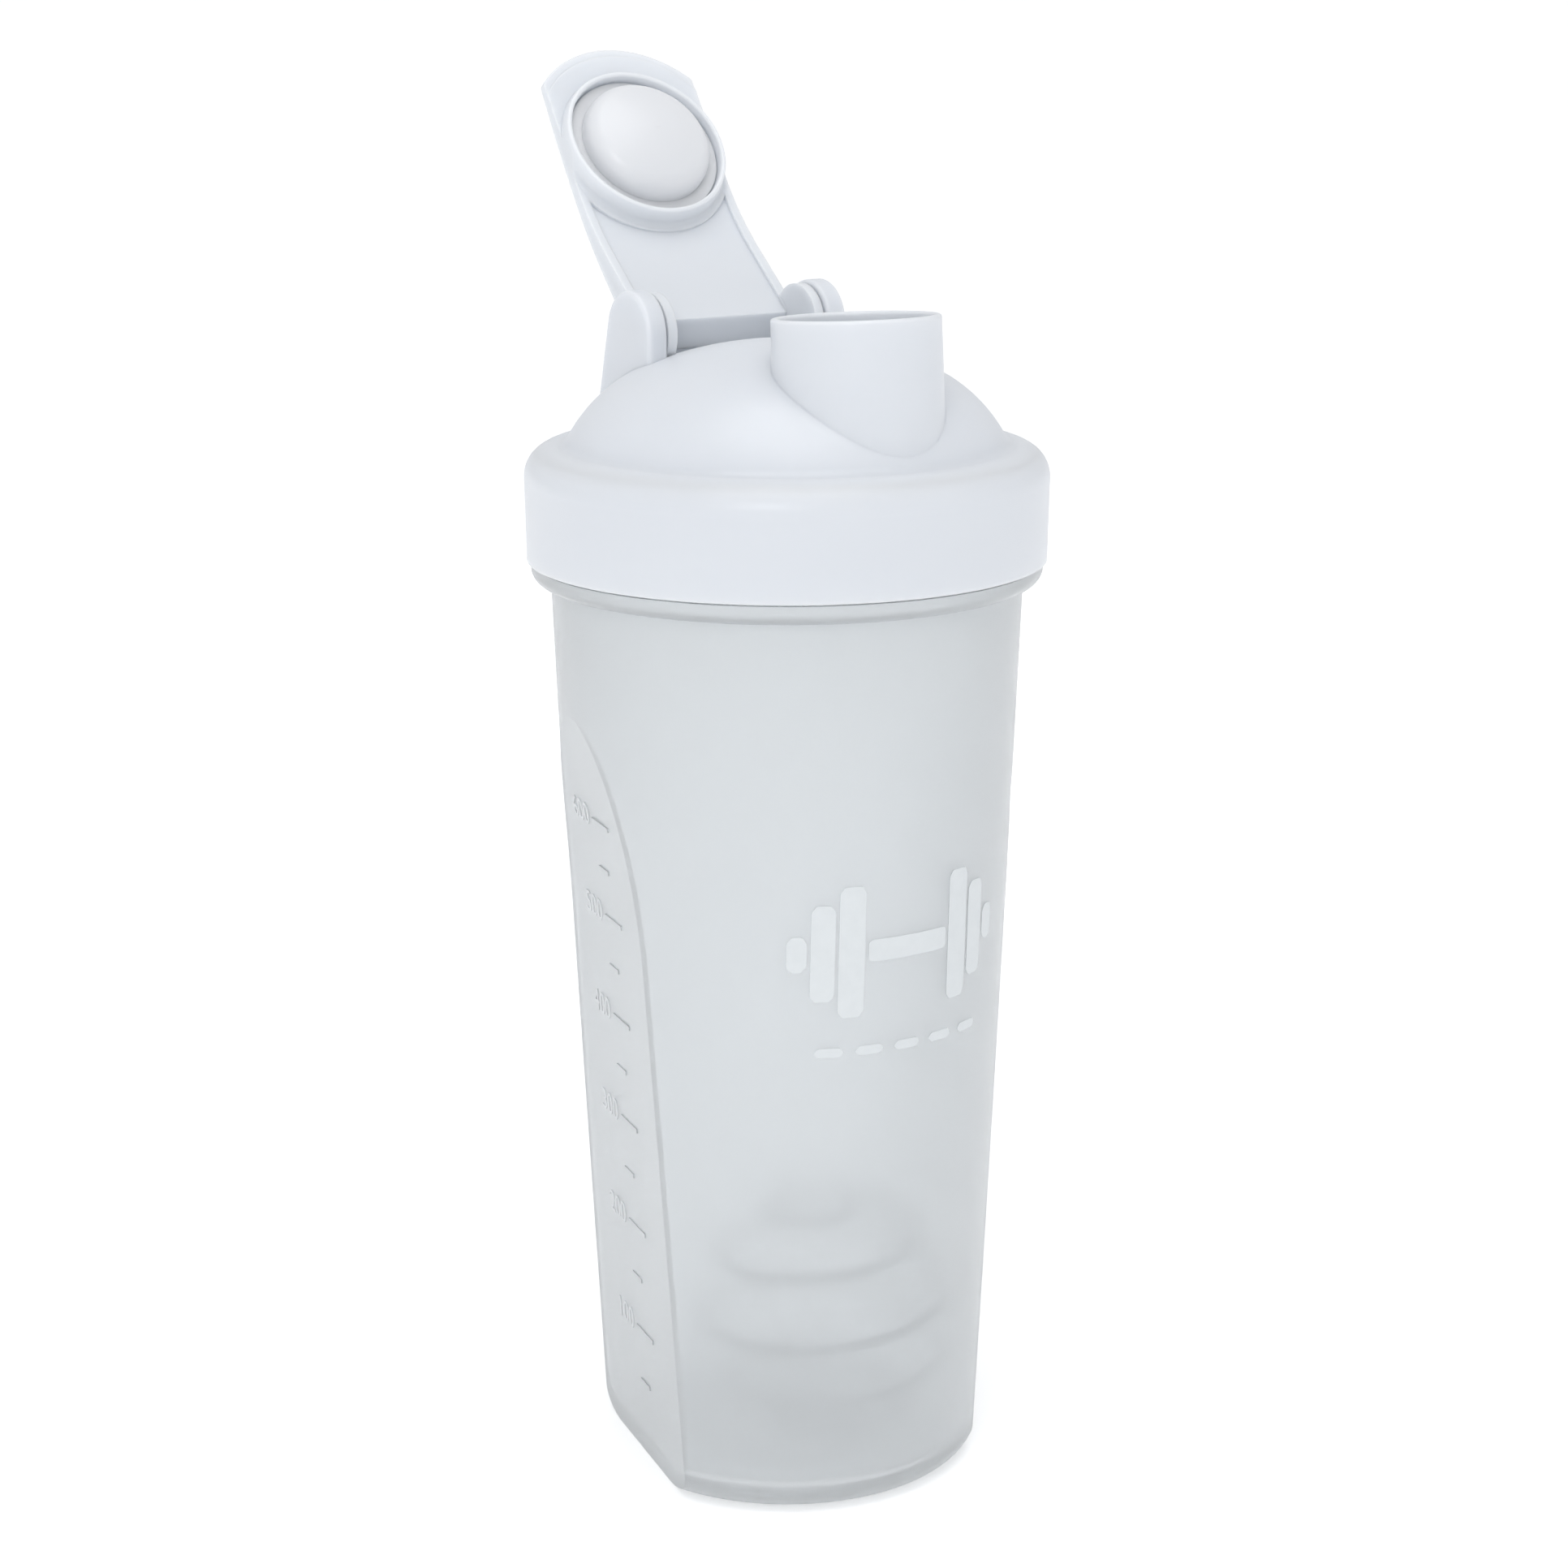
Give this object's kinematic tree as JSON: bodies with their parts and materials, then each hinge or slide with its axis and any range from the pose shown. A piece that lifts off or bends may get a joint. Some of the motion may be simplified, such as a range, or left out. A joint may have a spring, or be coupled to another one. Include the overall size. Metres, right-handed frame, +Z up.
{
  "type": "protein shaker bottle",
  "caption": "Frosted tapered shaker bottle with a screw lid, round drinking spout, hinged flip cap and a loose wire whisk ball inside.",
  "frame": {"origin": "centre of the base, on the plane the bottle stands on", "axes": "+Z up along the bottle's axis, -Y towards the drinking spout, X along the cap's hinge axis"},
  "size_m": [0.098, 0.1163, 0.2688],
  "materials": {
    "frosted_plastic": "frosted translucent natural polypropylene, fine matt outside",
    "lid_plastic": "white polypropylene, satin",
    "cap_plastic": "white polypropylene, satin",
    "stopper_plastic": "soft white polyethylene, smooth",
    "seal_rubber": "white silicone, matt",
    "steel_wire": "bright drawn stainless wire"
  },
  "bodies": {
    "bottle": {"bottle_body": "frosted_plastic"},
    "lid_carrier": {"lid_gasket": "seal_rubber"},
    "lid": {"screw_lid": "lid_plastic"},
    "cap": {"flip_cap": "cap_plastic", "spout_stopper": "stopper_plastic"},
    "ball": {"whisk_ball": "steel_wire"}
  },
  "joints": [
    {"name": "lid_rise", "type": "slide", "parent": "bottle", "child": "lid_carrier", "axis": [0, 0, 1], "range_m": [0, 0.0075]},
    {"name": "lid_turn", "type": "hinge", "parent": "lid_carrier", "child": "lid", "pos_m": [0, 0, 0.185], "axis": [0, 0, 1], "range_deg": [0, 540]},
    {"name": "cap_flip", "type": "hinge", "parent": "lid", "child": "cap", "pos_m": [0, 0.0212, 0.2187], "axis": [1, 0, 0], "range_deg": [0, 126]},
    {"name": "ball_lift", "type": "slide", "parent": "bottle", "child": "ball", "axis": [0, 0, 1], "range_m": [0, 0.14]}
  ],
  "couplings": [
    {"joint": "lid_rise", "follows": "lid_turn", "m_per_rad": 0.00079577}
  ]
}
